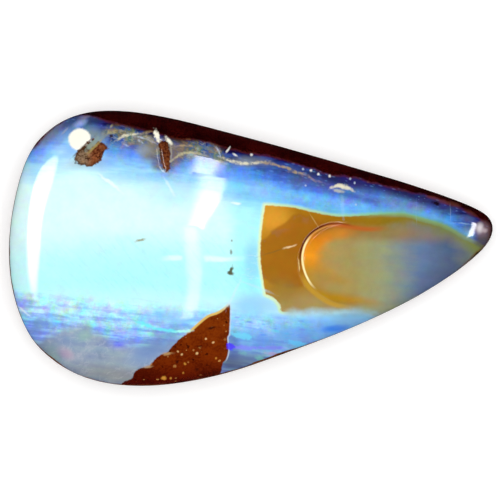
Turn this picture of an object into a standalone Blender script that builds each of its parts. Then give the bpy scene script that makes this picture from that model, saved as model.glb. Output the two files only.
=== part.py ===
"""Boulder opal drop: one stone of opal and ironstone, cut to a pear outline, domed and polished.

The stone lies on its flat back with its face up. +X runs from the round end to the tip, +Z is up, and
the origin is under the middle of the outline's box, on the surface that the stone rests on.
"""

import math

import bmesh
import bpy

MM = 0.001

# Driving sizes, in millimetres
LENGTH = 30.0
FULL_HALF_WIDTH = 8.53  # half the width of the widest section
GIRDLE_HEIGHT = 1.6  # the outline is widest at this height above the back
CROWN_HEIGHT = 3.5  # the dome above the girdle, at the widest section
ROUND_END_RADIUS = 13.4
TIP_RADIUS = 1.1

# Sections across the stone: distance from the round end, half width, and the section's middle in Y
SECTIONS = [
    (1.0, 5.07, 0.22),
    (2.5, 7.03, 0.31),
    (4.5, 8.13, 0.22),
    (7.0, 8.50, 0.03),
    (10.0, 8.25, -0.16),
    (13.5, 7.47, -0.25),
    (17.5, 6.25, -0.11),
    (21.5, 4.90, 0.09),
    (25.0, 3.54, 0.40),
    (27.5, 2.34, 0.74),
    (29.0, 1.43, 1.02),
]
ROUND_END_MIDDLE = -0.20
TIP_MIDDLE = 1.24

# Shape of the dome and of the side under the girdle
DOME_ROUNDNESS = 2.5  # 2 is an ellipse, and more is flatter on top and squarer at the shoulder
TAPER_POWER = 0.8  # how the crown comes down as the sections narrow
SHOULDER = 0.86  # share of the outline where the face passes into the shoulder
BACK_SHARE = 0.90  # share of the outline that the flat back keeps
SIDE_ROUNDNESS = 2.2

# The lobe of honey opal near the tip: a low ledge with a round end, which runs out towards the tip
LOBE_START = 18.1  # distance of its round end from the stone's round end
LOBE_STOP = 27.0
LOBE_RADIUS = 2.45
LOBE_MIDDLE = -0.9
LOBE_HEIGHT = 0.12
LOBE_EDGE = 0.30

# Faces along, across and up the stone
ALONG = 48
ACROSS = 30
UP = 10

OPAL_COLOUR = (0.60, 0.90, 0.95, 1.0)
OPAL_ROUGHNESS = 0.08


def clear_scene():
    for thing in list(bpy.data.objects):
        bpy.data.objects.remove(thing, do_unlink=True)


def outline_factor(along, half_width):
    """Half width over that of a circle's section, which stays finite where the outline rounds off."""
    share = 2.0 * along / LENGTH - 1.0
    return half_width / math.sqrt(1.0 - share * share)


def stations():
    """The sections with both ends added, as (distance, outline factor, middle)."""
    round_end = math.sqrt(ROUND_END_RADIUS * LENGTH / 2.0)
    tip = math.sqrt(TIP_RADIUS * LENGTH / 2.0)
    rows = [(0.0, round_end, ROUND_END_MIDDLE)]
    rows += [(along, outline_factor(along, half), middle) for along, half, middle in SECTIONS]
    rows += [(LENGTH, tip, TIP_MIDDLE)]
    return rows


def smooth_curve(rows, column):
    """A function through the rows' values: a cubic between stations, with slopes from their neighbours."""
    places = [row[0] for row in rows]
    values = [row[column] for row in rows]
    last = len(rows) - 1
    slopes = []
    for i in range(last + 1):
        before = max(i - 1, 0)
        after = min(i + 1, last)
        slopes.append((values[after] - values[before]) / (places[after] - places[before]))

    def curve(place):
        place = min(max(place, places[0]), places[last])
        i = 0
        while i < last - 1 and place > places[i + 1]:
            i += 1
        gap = places[i + 1] - places[i]
        t = (place - places[i]) / gap
        start = (1 + 2 * t) * (1 - t) ** 2 * values[i] + t * (1 - t) ** 2 * gap * slopes[i]
        end = t * t * (3 - 2 * t) * values[i + 1] - t * t * (1 - t) * gap * slopes[i + 1]
        return start + end

    return curve


FACTOR = smooth_curve(stations(), 1)
MIDDLE = smooth_curve(stations(), 2)


def half_width(along):
    share = 2.0 * along / LENGTH - 1.0
    return FACTOR(along) * math.sqrt(max(1.0 - share * share, 0.0))


def smooth_step(value):
    value = min(max(value, 0.0), 1.0)
    return value * value * (3 - 2 * value)


def lobe_rise(along, y):
    """Height of the honey lobe's ledge, highest at its round end and level with the dome at its stop."""
    spine = max(along, LOBE_START + LOBE_RADIUS)
    inside = LOBE_RADIUS - math.hypot(along - spine, y - LOBE_MIDDLE)
    left = smooth_step((LOBE_STOP - along) / (LOBE_STOP - LOBE_START))
    return LOBE_HEIGHT * left * smooth_step(0.5 + inside / LOBE_EDGE)


def crown(along):
    return CROWN_HEIGHT * (half_width(along) / FULL_HALF_WIDTH) ** TAPER_POWER


def face_height(along, y):
    """Height of the polished face above the back."""
    half = half_width(along)
    if half < 1e-6:
        return GIRDLE_HEIGHT
    off = min(abs(y - MIDDLE(along)) / half, 1.0)
    dome = (1.0 - off**DOME_ROUNDNESS) ** (1.0 / DOME_ROUNDNESS)
    return GIRDLE_HEIGHT + crown(along) * dome + lobe_rise(along, y) * smooth_step(2.0 * dome)


def place_on_stone(u, v, w):
    """A point of the box's surface, each coordinate from -1 to 1, moved to the stone's surface, in mm."""
    p = u * math.sqrt(1.0 - v * v / 2.0)
    q = v * math.sqrt(1.0 - u * u / 2.0)
    if w >= 0.0:
        top = (1.0 - SHOULDER**DOME_ROUNDNESS) ** (1.0 / DOME_ROUNDNESS)
        reach = (1.0 - (top * w) ** DOME_ROUNDNESS) ** (1.0 / DOME_ROUNDNESS)
    else:
        reach = BACK_SHARE + (1.0 - BACK_SHARE) * (1.0 - abs(w) ** SIDE_ROUNDNESS) ** (1.0 / SIDE_ROUNDNESS)
    p *= reach
    q *= reach
    along = LENGTH / 2.0 * (1.0 + p)
    y = MIDDLE(along) + q * FACTOR(along)
    z = face_height(along, y) if w > 0.0 else GIRDLE_HEIGHT * (1.0 + w)
    return along - LENGTH / 2.0, y, z


def edges_along(mesh, axis):
    return [e for e in mesh.edges if abs((e.verts[0].co - e.verts[1].co).normalized()[axis]) > 0.99]


def flatten_back(mesh):
    """Joins the faces of the back into one flat face."""
    back = [f for f in mesh.faces if all(v.co.z < 1e-7 for v in f.verts)]
    bmesh.ops.dissolve_faces(mesh, faces=back, use_verts=True)


def make_stone():
    mesh = bmesh.new()
    bmesh.ops.create_cube(mesh, size=2.0)
    for axis, faces in ((0, ALONG), (1, ACROSS), (2, UP)):
        bmesh.ops.subdivide_edges(
            mesh, edges=edges_along(mesh, axis), cuts=faces - 1, use_grid_fill=True
        )
    for vert in mesh.verts:
        x, y, z = place_on_stone(*vert.co)
        vert.co = (x * MM, y * MM, z * MM)
    flatten_back(mesh)
    bmesh.ops.triangulate(mesh, faces=mesh.faces)
    bmesh.ops.recalc_face_normals(mesh, faces=mesh.faces)
    data = bpy.data.meshes.new("boulder_opal")
    mesh.to_mesh(data)
    mesh.free()
    data.shade_smooth()
    data.set_sharp_from_angle(angle=math.radians(40))
    return bpy.data.objects.new("boulder_opal", data)


def polished_opal():
    material = bpy.data.materials.new("polished_opal")
    material.use_nodes = True
    shader = material.node_tree.nodes["Principled BSDF"]
    shader.inputs["Base Color"].default_value = OPAL_COLOUR
    shader.inputs["Roughness"].default_value = OPAL_ROUGHNESS
    shader.inputs["Metallic"].default_value = 0.0
    return material


def main():
    clear_scene()
    collection = bpy.data.collections.new("Boulder opal drop")
    bpy.context.scene.collection.children.link(collection)
    stone = make_stone()
    stone.data.materials.append(polished_opal())
    collection.objects.link(stone)


main()
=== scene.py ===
# %% [markdown]
# # A boulder opal drop
#
# Boulder opal is precious opal that filled a crack in ironstone. A cutter leaves the ironstone under the
# opal as its back, gives the pair a pear outline and polishes the face to a low dome. This lesson makes
# such a stone in two parts: one fine mesh that follows the sizes of the solid model, and two materials that
# are built only from nodes. The first cell loads the solid model, which sets the size and the place of
# everything after it.

# %% Load the solid model
import math

import bmesh
import bpy
import numpy as np
from mathutils import Matrix, Vector, noise


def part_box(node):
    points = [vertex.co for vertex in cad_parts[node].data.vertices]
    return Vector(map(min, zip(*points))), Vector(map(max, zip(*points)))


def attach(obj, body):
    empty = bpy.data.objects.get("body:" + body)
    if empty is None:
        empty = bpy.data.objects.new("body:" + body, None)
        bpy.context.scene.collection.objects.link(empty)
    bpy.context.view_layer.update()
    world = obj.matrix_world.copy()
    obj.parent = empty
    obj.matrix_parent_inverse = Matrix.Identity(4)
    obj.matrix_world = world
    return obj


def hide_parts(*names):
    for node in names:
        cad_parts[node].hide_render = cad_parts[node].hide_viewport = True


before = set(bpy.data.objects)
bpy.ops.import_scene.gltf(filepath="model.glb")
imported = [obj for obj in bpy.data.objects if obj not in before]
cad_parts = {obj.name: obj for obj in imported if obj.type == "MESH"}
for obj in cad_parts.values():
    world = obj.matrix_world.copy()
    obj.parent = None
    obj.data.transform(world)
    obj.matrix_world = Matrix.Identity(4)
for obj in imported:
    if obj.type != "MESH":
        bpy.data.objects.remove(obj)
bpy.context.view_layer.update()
MM = 0.001
low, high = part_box("boulder_opal")
print("solid stone, mm:", [round((b - a) / MM, 2) for a, b in zip(low, high)])

# %% [markdown]
# ## The outline
#
# The outline was measured as sections: how far each lies from the round end, its half width, and where its
# middle is. A cutter draws such a shape by eye, so it isn't quite symmetric. A plain curve through the half
# widths would need a vertical tangent at each end, which a cubic can't have. So the curve goes through the
# half width divided by that of a circle's section. That factor stays finite at the ends, and the circle's
# root gives back the round.

# %% Sections of the outline
LENGTH = (high.x - low.x) / MM
FULL_HALF_WIDTH = 8.53
ROUND_END_RADIUS = 13.4
TIP_RADIUS = 1.1
ROUND_END_MIDDLE = -0.20
TIP_MIDDLE = 1.24
# Distance from the round end, half width, and the section's middle in Y, in mm
SECTIONS = [
    (1.0, 5.07, 0.22),
    (2.5, 7.03, 0.31),
    (4.5, 8.13, 0.22),
    (7.0, 8.50, 0.03),
    (10.0, 8.25, -0.16),
    (13.5, 7.47, -0.25),
    (17.5, 6.25, -0.11),
    (21.5, 4.90, 0.09),
    (25.0, 3.54, 0.40),
    (27.5, 2.34, 0.74),
    (29.0, 1.43, 1.02),
]


def circle_share(along):
    """How wide a circle's section would be here, as a share of its full width."""
    return np.sqrt(np.maximum(1.0 - (2.0 * along / LENGTH - 1.0) ** 2, 0.0))


def curve_through(places, values):
    """A smooth function through the values: a cubic between places, with slopes from their neighbours."""
    places = np.array(places)
    values = np.array(values)
    after = np.minimum(np.arange(len(places)) + 1, len(places) - 1)
    before = np.maximum(np.arange(len(places)) - 1, 0)
    slopes = (values[after] - values[before]) / (places[after] - places[before])

    def curve(place):
        place = np.clip(place, places[0], places[-1])
        i = np.clip(np.searchsorted(places, place) - 1, 0, len(places) - 2)
        gap = places[i + 1] - places[i]
        t = (place - places[i]) / gap
        start = (1 + 2 * t) * (1 - t) ** 2 * values[i] + t * (1 - t) ** 2 * gap * slopes[i]
        end = t * t * (3 - 2 * t) * values[i + 1] - t * t * (1 - t) * gap * slopes[i + 1]
        return start + end

    return curve


places = [0.0] + [along for along, half, middle in SECTIONS] + [LENGTH]
factors = [half / circle_share(along) for along, half, middle in SECTIONS]
round_end = math.sqrt(ROUND_END_RADIUS * LENGTH / 2.0)
tip = math.sqrt(TIP_RADIUS * LENGTH / 2.0)
factor = curve_through(places, [round_end] + factors + [tip])
middle = curve_through(places, [ROUND_END_MIDDLE] + [row[2] for row in SECTIONS] + [TIP_MIDDLE])


def half_width(along):
    return factor(along) * circle_share(along)


print("widest half width, mm:", round(float(half_width(np.linspace(0, LENGTH, 200)).max()), 2))

# %% [markdown]
# ## The dome
#
# Across each section the face is a superellipse, flatter on top than an ellipse and squarer at the
# shoulder, as a stone cut for spread is. The crown gets lower as the sections narrow towards the tip. Near
# the tip a lobe of honey opal stands a tenth of a millimetre proud with a round end: there a softer layer
# polished away beside it.

# %% Height of the face
GIRDLE_HEIGHT = 1.6
CROWN_HEIGHT = 3.5
DOME_ROUNDNESS = 2.5
TAPER_POWER = 0.8
LOBE_START = 18.1
LOBE_STOP = 27.0
LOBE_RADIUS = 2.45
LOBE_MIDDLE = -0.9
LOBE_HEIGHT = 0.12
LOBE_EDGE = 0.30


def smooth_step(value):
    value = np.clip(value, 0.0, 1.0)
    return value * value * (3 - 2 * value)


def lobe_rise(along, y):
    """Height of the lobe's ledge, highest at its round end and level with the dome at its stop."""
    spine = np.maximum(along, LOBE_START + LOBE_RADIUS)
    inside = LOBE_RADIUS - np.hypot(along - spine, y - LOBE_MIDDLE)
    left = smooth_step((LOBE_STOP - along) / (LOBE_STOP - LOBE_START))
    return LOBE_HEIGHT * left * smooth_step(0.5 + inside / LOBE_EDGE)


def face_height(along, y):
    half = np.maximum(half_width(along), 1e-6)
    crown = CROWN_HEIGHT * (half / FULL_HALF_WIDTH) ** TAPER_POWER
    off = np.minimum(np.abs(y - middle(along)) / half, 1.0)
    dome = (1.0 - off**DOME_ROUNDNESS) ** (1.0 / DOME_ROUNDNESS)
    return GIRDLE_HEIGHT + crown * dome + lobe_rise(along, y) * smooth_step(2.0 * dome)


top_height = face_height(np.array([7.0]), np.array([0.0]))[0]
print("height over the widest section, mm:", round(float(top_height), 2))

# %% [markdown]
# ## From a cube to a stone
#
# A UV sphere would give a pole in the middle of the polish, where every highlight pinches. A cube that is
# cut into a grid has no pole: each of its points is a share of the way along, across and up, and one
# formula moves that share to the stone. The corners of the square go to the outline, the top face becomes
# the dome and the sides become the shoulder, the girdle and the wall under it.

# %% A cube in a fine grid
ALONG = 240
ACROSS = 120
UP = 24


def edges_along(mesh, axis):
    return [e for e in mesh.edges if abs((e.verts[0].co - e.verts[1].co).normalized()[axis]) > 0.99]


grid = bmesh.new()
bmesh.ops.create_cube(grid, size=2.0)
for axis, faces in ((0, ALONG), (1, ACROSS), (2, UP)):
    bmesh.ops.subdivide_edges(grid, edges=edges_along(grid, axis), cuts=faces - 1, use_grid_fill=True)
stone_mesh = bpy.data.meshes.new("boulder_opal_stone")
grid.to_mesh(stone_mesh)
grid.free()
print("grid:", len(stone_mesh.vertices), "points,", len(stone_mesh.polygons), "faces")

# %% [markdown]
# The grid's points are moved all at once with numpy, which is much quicker than a loop over sixty thousand
# vertices. Above the girdle the superellipse itself says how far in a point lies at its height. Below it
# the wall turns under to a back that is a little smaller than the outline. The points are also drawn
# towards the tip, where the face curves most and the highlights need them.

# %% The cube's points, moved to the stone
SHOULDER = 0.86
BACK_SHARE = 0.90
SIDE_ROUNDNESS = 2.2
TIP_DENSITY = 0.25


def points_of(mesh, attribute):
    values = np.empty(len(mesh.vertices) * 3, np.float32)
    mesh.vertices.foreach_get(attribute, values)
    return values.reshape(-1, 3).astype(float)


def move_points(mesh, points):
    mesh.vertices.foreach_set("co", points.astype(np.float32).ravel())
    mesh.update()


u, v, w = points_of(stone_mesh, "co").T
u = u + TIP_DENSITY * (1.0 - u * u)
shoulder_top = (1.0 - SHOULDER**DOME_ROUNDNESS) ** (1.0 / DOME_ROUNDNESS)
reach_above = (1.0 - (shoulder_top * np.maximum(w, 0.0)) ** DOME_ROUNDNESS) ** (1.0 / DOME_ROUNDNESS)
under = (1.0 - np.minimum(np.abs(w), 1.0) ** SIDE_ROUNDNESS) ** (1.0 / SIDE_ROUNDNESS)
reach = np.where(w >= 0.0, reach_above, BACK_SHARE + (1.0 - BACK_SHARE) * under)
along = LENGTH / 2.0 * (1.0 + u * np.sqrt(1.0 - v * v / 2.0) * reach)
across = middle(along) + v * np.sqrt(1.0 - u * u / 2.0) * reach * factor(along)
height = np.where(w > 0.0, face_height(along, across), GIRDLE_HEIGHT * (1.0 + w))
stone_mm = np.stack([along - LENGTH / 2.0, across, height], axis=1)
move_points(stone_mesh, stone_mm * MM)
on_face = w > 0.0
print("stone, mm:", np.round(stone_mm.min(0), 2), "to", np.round(stone_mm.max(0), 2))

# %% [markdown]
# ## What the polish and the saw left
#
# A dome polished by hand is never a perfect formula: it has waves a few millimetres long and about a
# thousandth of a millimetre high, which bend the edges of the reflections. The ironstone back is only sawn
# and tumbled, so it has dents and pits. They all go inwards, because the stone has to keep its size and lie
# flat. Blender's own noise gives the same dents each time the script runs.

# %% Waves in the polish, dents in the back
WAVE_LENGTH = 2.4
WAVE_HEIGHT = 0.0012
RIPPLE_LENGTH = 0.9
RIPPLE_HEIGHT = 0.0003
DENT_LENGTH = 3.2
DENT_DEPTH = 0.16
PIT_LENGTH = 0.7
PIT_DEPTH = 0.10
PIT_LEVEL = 0.25
# How far from the girdle, in mm, the waves and the dents reach their full height
WAVE_START = 0.8
DENT_START = 0.5
WAVE_PLACE = Vector((3.1, 7.7, 0.0))
DENT_PLACE = Vector((11.3, 2.9, 5.0))


def noise_at(points, wave_length, place, octaves=2):
    """Smooth noise from about -1 to 1 at each point, in waves of the given length in mm."""
    return np.array([noise.fractal(Vector(p) / wave_length + place, 1.0, 2.0, octaves) for p in points])


normals = points_of(stone_mesh, "normal")
lift = np.zeros(len(stone_mm))
lift[on_face] = WAVE_HEIGHT * noise_at(stone_mm[on_face], WAVE_LENGTH, WAVE_PLACE)
lift[on_face] += RIPPLE_HEIGHT * noise_at(stone_mm[on_face], RIPPLE_LENGTH, WAVE_PLACE)
lift[on_face] *= smooth_step((stone_mm[on_face, 2] - GIRDLE_HEIGHT) / WAVE_START)
rough = ~on_face
dents = np.maximum(noise_at(stone_mm[rough], DENT_LENGTH, DENT_PLACE, 3), 0.0) * DENT_DEPTH
pits = np.maximum(noise_at(stone_mm[rough], PIT_LENGTH, DENT_PLACE) - PIT_LEVEL, 0.0) * PIT_DEPTH
under_girdle = smooth_step((GIRDLE_HEIGHT - stone_mm[rough, 2]) / DENT_START)
lift[rough] = -(dents + pits) * under_girdle
stone_mm += normals * lift[:, None]
move_points(stone_mesh, stone_mm * MM)
print("waves up to", round(float(lift.max()), 3), "mm, dents down to", round(float(lift.min()), 3), "mm")

# %% [markdown]
# ## Zones on the face
#
# Seen from above, the face is a map: a band of dark ironstone along one side, a clear vein under it, a
# wedge of brown ironstone, a patch of honey opal with the lobe in it, and grey potch, which is opal without
# colour. Each is drawn here as an outline of a few points in millimetres, with a rounded curve through
# them. A point that is given twice in a row makes a corner. Every vertex then stores how far inside the
# outline it lies, as an attribute. That beats a mask of 0 and 1, because a distance changes evenly over a
# face, so the material can draw a crisp edge, a soft edge, or a fine rim beside it, all finer than the
# mesh.

# %% Outlines of the zones
ZONES = {
    "band": [
        (-13.5, 6.10), (-12.95, 6.67), (-12.46, 7.16), (-11.46, 7.91), (-10.80, 8.17), (-9.85, 8.10),
        (-8.80, 7.78), (-7.74, 7.54), (-6.13, 7.16), (-4.52, 6.73), (-3.03, 6.60), (-1.54, 6.17),
        (-0.11, 5.86), (2.00, 5.43), (5.04, 4.50), (6.15, 4.37), (9.25, 3.57), (11.18, 3.13),
        (13.10, 2.36), (14.20, 1.80), (14.70, 1.20), (14.62, 0.60), (14.30, 0.12), (13.80, -0.38),
        (13.30, -0.83), (12.75, -1.32), (12.75, -1.32), (13.6, -2.4), (16.5, 0.0), (16.0, 3.0), (8.0, 9.0),
        (-8.0, 10.0), (-13.0, 8.5), (-14.6, 6.2),
    ],
    "vein": [
        (-9.17, 6.92), (-8.61, 7.54), (-7.49, 7.40), (-6.25, 7.0), (-5.32, 6.8), (-3.84, 6.62),
        (-2.55, 6.55), (-1.79, 6.05), (-1.41, 5.49), (-2.03, 5.36), (-3.46, 5.55), (-4.52, 5.2),
        (-5.01, 4.6), (-5.76, 4.9), (-6.5, 5.8), (-7.8, 6.37), (-8.73, 6.37),
    ],
    "inclusion": [
        (-9.85, 6.76), (-9.85, 6.76), (-10.72, 6.02), (-10.72, 6.02), (-10.92, 5.61), (-10.78, 5.24),
        (-10.35, 5.17), (-9.97, 5.06), (-9.48, 5.30), (-9.11, 5.80), (-8.86, 6.23), (-8.92, 6.48),
        (-9.23, 6.57),
    ],
    "splinter": [
        (-5.76, 6.73), (-5.76, 6.73), (-5.14, 6.73), (-5.14, 6.73), (-4.95, 5.80), (-5.03, 4.95),
        (-5.26, 4.80), (-5.52, 5.24),
    ],
    "patch": [
        (0.85, 2.72), (0.85, 2.72), (2.62, 2.57), (3.98, 2.26), (5.53, 2.02), (7.70, 2.12), (9.25, 2.14),
        (10.31, 1.94), (12.02, 1.41), (12.98, 0.88), (13.60, 0.59), (14.30, 0.25), (14.80, -0.60),
        (11.74, -3.0), (8.57, -4.2), (7.00, -3.95), (5.53, -3.94), (3.05, -3.94), (1.95, -3.94),
        (1.75, -3.57), (1.44, -3.15), (0.88, -2.85), (0.88, -2.85), (0.66, -1.52), (0.55, -0.47),
        (0.63, 1.09),
    ],
    "shade": [
        (0.30, 0.10), (0.30, 0.10), (1.00, 0.73), (1.55, 1.26), (2.05, 1.56), (2.45, 1.96), (2.95, 2.16),
        (3.54, 2.03), (4.60, 1.60), (5.60, 1.50), (5.20, -1.0), (3.20, -2.3), (1.40, -2.2), (0.30, -1.2),
    ],
    "lobe": [
        (3.12, -0.71), (3.26, 0.16), (3.70, 0.84), (4.42, 1.31), (5.28, 1.46), (7.39, 1.21), (9.88, 1.4),
        (12.0, 0.85), (13.2, 0.30), (13.8, -1.0), (11.74, -2.6), (8.57, -3.6), (6.03, -3.47), (4.91, -3.19),
        (3.86, -2.45), (3.34, -1.65),
    ],
    "core": [
        (4.23, -0.47), (4.73, 0.43), (5.63, 0.93), (7.39, 0.95), (9.88, 1.1), (12.0, 0.6), (13.0, 0.1),
        (13.6, -0.9), (11.74, -2.3), (8.57, -3.2), (5.84, -2.05), (5.04, -1.64), (4.42, -1.15),
    ],
    "wedge": [
        (-1.30, -3.38), (-1.30, -3.38), (-1.27, -3.80), (-1.33, -5.34), (-1.33, -5.34), (-1.45, -5.53),
        (-1.38, -6.23), (-1.49, -6.79), (-1.74, -7.14), (-1.90, -7.80), (-2.60, -9.00), (-6.60, -9.60),
        (-8.40, -8.75), (-8.40, -8.75), (-7.90, -8.29), (-7.33, -8.05), (-7.33, -8.05), (-7.23, -7.70),
        (-6.84, -7.38), (-6.34, -7.36), (-6.34, -7.36), (-6.12, -7.08), (-5.66, -6.62), (-5.28, -6.49),
        (-5.08, -6.40), (-5.08, -6.40), (-4.93, -6.12), (-4.28, -5.50), (-3.67, -5.08), (-3.16, -4.63),
        (-2.61, -4.20), (-2.08, -4.02), (-1.61, -3.73),
    ],
    "potch": [
        (-14.2, -6.6), (-13.0, -5.70), (-12.0, -5.20), (-11.1, -4.85), (-10.4, -4.75), (-9.5, -5.15),
        (-8.4, -5.75), (-6.9, -5.95), (-5.4, -5.9), (-4.4, -6.0), (-5.5, -9.5), (-11.0, -9.5),
    ],
}
CURVE_STEPS = 8


def rounded(outline):
    """The closed curve through an outline's points, in many short steps. A repeated point makes a corner."""
    corners = np.array(outline)
    before = np.roll(corners, 1, axis=0)
    after = np.roll(corners, -1, axis=0)
    beyond = np.roll(corners, -2, axis=0)
    t = (np.arange(CURVE_STEPS) / CURVE_STEPS)[:, None, None]
    curve = 0.5 * (
        2 * corners
        + (after - before) * t
        + (2 * before - 5 * corners + 4 * after - beyond) * t**2
        + (3 * corners - before - 3 * after + beyond) * t**3
    )
    moves_on = (corners != after).any(axis=1)
    return curve.transpose(1, 0, 2)[moves_on].reshape(-1, 2)


def distance_inside(points, outline):
    """How far each point lies inside a closed outline, in mm. It is negative outside."""
    curve = rounded(outline)
    nearest = np.full(len(points), np.inf)
    inside = np.zeros(len(points), bool)
    for start, end in zip(curve, np.roll(curve, -1, axis=0)):
        step = end - start
        off = points - start
        t = np.clip(off @ step / (step @ step), 0.0, 1.0)
        nearest = np.minimum(nearest, np.hypot(off[:, 0] - t * step[0], off[:, 1] - t * step[1]))
        crosses = (start[1] > points[:, 1]) != (end[1] > points[:, 1])
        where = start[0] + (points[:, 1] - start[1]) * step[0] / (step[1] if step[1] else 1.0)
        inside ^= crosses & (points[:, 0] < where)
    return np.where(inside, nearest, -nearest)


inside_mm = {}
for name, outline in ZONES.items():
    inside_mm[name] = distance_inside(stone_mm[:, :2], outline)
    distances = stone_mesh.attributes.new(name, "FLOAT", "POINT")
    distances.data.foreach_set("value", inside_mm[name].astype(np.float32))
    percent = 100 * float((inside_mm[name][on_face] > 0).mean())
    print(f"zone {name}: {len(outline)} points, {percent:.1f}% of the face's vertices")

# %% [markdown]
# The brown inclusions are softer than opal, so the polish sinks into them a little. That is a true shape,
# however small, so it goes into the mesh and not into the material.

# %% Inclusions that the polish sank into
SINK = 0.035
SINK_EDGE = 0.12
softer = np.maximum(inside_mm["inclusion"], inside_mm["splinter"])
sunk = SINK * smooth_step(0.5 + softer / SINK_EDGE) * on_face
stone_mm -= normals * sunk[:, None]
move_points(stone_mesh, stone_mm * MM)
print("inclusions sunk by", round(float(sunk.max()), 3), "mm")

# %% [markdown]
# ## Small tools for node trees
#
# A large material is easier to read as sentences than as hundreds of lines of links. `put` adds a node,
# sets its options and fills its inputs with numbers or with links. The others are short words for what is
# used most: sums, colours laid over each other, and a ramp whose stops are given in millimetres. Colours
# are written as the eye sees them on a screen, as red, green and blue from 0 to 255, and `seen` turns them
# into the linear values that shaders work in.

# %% Words for building materials
def seen(red, green, blue):
    def linear(value):
        value /= 255.0
        return value / 12.92 if value <= 0.04045 else ((value + 0.055) / 1.055) ** 2.4

    return (linear(red), linear(green), linear(blue), 1.0)


def colour_of(value):
    """A screen colour of three numbers as a linear one. A link or a linear colour stays as it is."""
    return seen(*value) if isinstance(value, tuple) and len(value) == 3 else value


def fill(tree, socket, value):
    if isinstance(value, bpy.types.NodeSocket):
        tree.links.new(value, socket)
    else:
        socket.default_value = value


def put(tree, kind, inputs=None, **options):
    made = tree.nodes.new(kind)
    for option, value in options.items():
        setattr(made, option, value)
    for socket, value in (inputs or {}).items():
        fill(tree, made.inputs[socket], value)
    return made


def sums(tree, operation, *values):
    return put(tree, "ShaderNodeMath", dict(enumerate(values)), operation=operation).outputs[0]


def arrows(tree, operation, *values, result="Vector"):
    return put(tree, "ShaderNodeVectorMath", dict(enumerate(values)), operation=operation).outputs[result]


def split(tree, colour):
    return put(tree, "ShaderNodeSeparateColor", {"Color": colour}).outputs


def stepped(tree, value, low, high, first=0.0, last=1.0):
    """A smooth step of a value, from first at low to last at high."""
    inputs = {"Value": value, "From Min": low, "From Max": high, "To Min": first, "To Max": last}
    made = put(tree, "ShaderNodeMapRange", inputs, interpolation_type="SMOOTHSTEP", clamp=False)
    return made.outputs["Result"]


def lay(tree, below, mask, above, blend="MIX"):
    """Lays one colour over another where the mask is 1."""
    inputs = {0: mask, 6: colour_of(below), 7: colour_of(above)}
    made = put(tree, "ShaderNodeMix", inputs, data_type="RGBA", blend_type=blend)
    return made.outputs[2]


def ramp(tree, value, stops):
    """A colour that changes with a value in mm, through stops of (value, colour)."""
    first, last = stops[0][0], stops[-1][0]
    inputs = {"Value": value, "From Min": first, "From Max": last}
    along = put(tree, "ShaderNodeMapRange", inputs, clamp=False).outputs[0]
    made = put(tree, "ShaderNodeValToRGB", {"Fac": along})
    while len(made.color_ramp.elements) < len(stops):
        made.color_ramp.elements.new(0.5)
    for element, (place, colour) in zip(made.color_ramp.elements, stops):
        element.position = (place - first) / (last - first)
        element.color = colour_of(colour)
    return made.outputs["Color"]


def new_group(name, inputs, outputs):
    """An empty node group with named sockets: (name, kind, starting value) in, (name, kind) out."""
    tree = bpy.data.node_groups.new(name, "ShaderNodeTree")
    for socket, kind, start in inputs:
        made = tree.interface.new_socket(socket, in_out="INPUT", socket_type="NodeSocket" + kind)
        if start is not None:
            made.default_value = start
    for socket, kind in outputs:
        tree.interface.new_socket(socket, in_out="OUTPUT", socket_type="NodeSocket" + kind)
    return tree, tree.nodes.new("NodeGroupInput").outputs, tree.nodes.new("NodeGroupOutput").inputs


def use(tree, group, **values):
    """Places a group, with its inputs filled by name; an underscore stands for a space."""
    made = put(tree, "ShaderNodeGroup", node_tree=group)
    for socket, value in values.items():
        fill(tree, made.inputs[socket.replace("_", " ")], value)
    return made.outputs


def point_in_mm(tree):
    """The point on the object, in millimetres."""
    metres = put(tree, "ShaderNodeTexCoord").outputs["Object"]
    return put(tree, "ShaderNodeVectorMath", {0: metres, "Scale": 1.0 / MM}, operation="SCALE").outputs[0]


def solid_noise(tree, place, scale, detail, roughness=0.5):
    inputs = {"Vector": place, "Scale": scale, "Detail": detail, "Roughness": roughness}
    return put(tree, "ShaderNodeTexNoise", inputs).outputs["Fac"]


print("the words are ready")

# %% [markdown]
# ## Marks as node groups
#
# Two small groups draw nearly everything on the face. **Zone edge** turns a stored distance into a mask
# whose edge wanders a little. **Spot** is an ellipse of any size and turn: round for a wash of colour, long
# and thin for a fibre or a scratch, and it can be bowed and frayed. Its shape comes in as two vectors, one
# along it and one across it, each divided by the half size, so that two dot products say how far out a
# point lies. Python works those vectors out once, which is cheaper than turning the point again for every
# mark.

# %% Zone edge
zone_edge, ins, outs = new_group(
    "Zone edge",
    [("Distance", "Float", 0.0), ("Noise", "Float", 0.5), ("Wander", "Float", 0.05),
     ("Softness", "Float", 0.05)],
    [("Mask", "Float")],
)
WANDER_GAIN = 4.0
reach = sums(zone_edge, "MULTIPLY", ins["Wander"], WANDER_GAIN)
swing = sums(zone_edge, "SUBTRACT", ins["Noise"], 0.5)
place = sums(zone_edge, "MULTIPLY_ADD", swing, reach, ins["Distance"])
outer = sums(zone_edge, "MULTIPLY", ins["Softness"], -1.0)
fill(zone_edge, outs["Mask"], stepped(zone_edge, place, outer, ins["Softness"]))

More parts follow.
